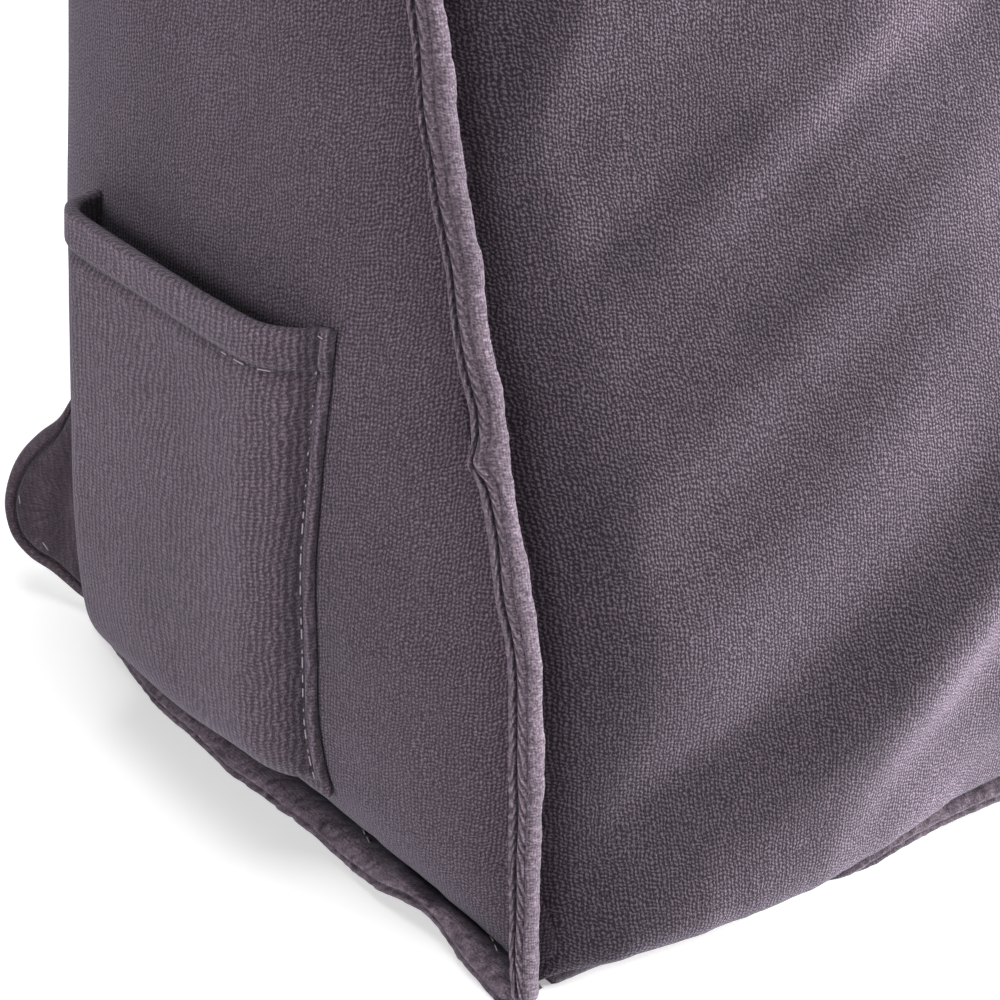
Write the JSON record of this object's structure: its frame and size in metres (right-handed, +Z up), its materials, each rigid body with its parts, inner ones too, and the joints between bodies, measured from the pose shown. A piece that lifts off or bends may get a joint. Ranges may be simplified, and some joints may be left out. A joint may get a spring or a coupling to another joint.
{
  "type": "wedge headboard pillow",
  "caption": "Filled wedge pillow that stands against a headboard, with raised seam flanges, loose lower back corners and an open patch pocket on its left end.",
  "frame": {"origin": "middle of the flat base, on the surface that the pillow stands on", "axes": "+X along the pillow, +Y towards the headboard behind it, +Z up"},
  "size_m": [0.6425, 0.2139, 0.4996],
  "materials": {
    "plush": "short pile plush in grey mauve, soft sheen on the folds",
    "pocket_plush": "the same plush, its knit columns upright",
    "flange_plush": "the same plush folded and top-stitched, pile pressed light"
  },
  "bodies": {
    "root": {"cushion": "plush", "pocket": "pocket_plush", "slope_flange_left": "flange_plush", "slope_flange_right": "flange_plush", "back_flange_left": "flange_plush", "back_flange_right": "flange_plush", "base_flange_left": "flange_plush", "base_flange_right": "flange_plush", "toe_flange": "flange_plush", "heel_flange": "flange_plush", "ridge_flange": "flange_plush", "corner_ear_left": "flange_plush", "corner_ear_right": "flange_plush"}
  },
  "joints": []
}
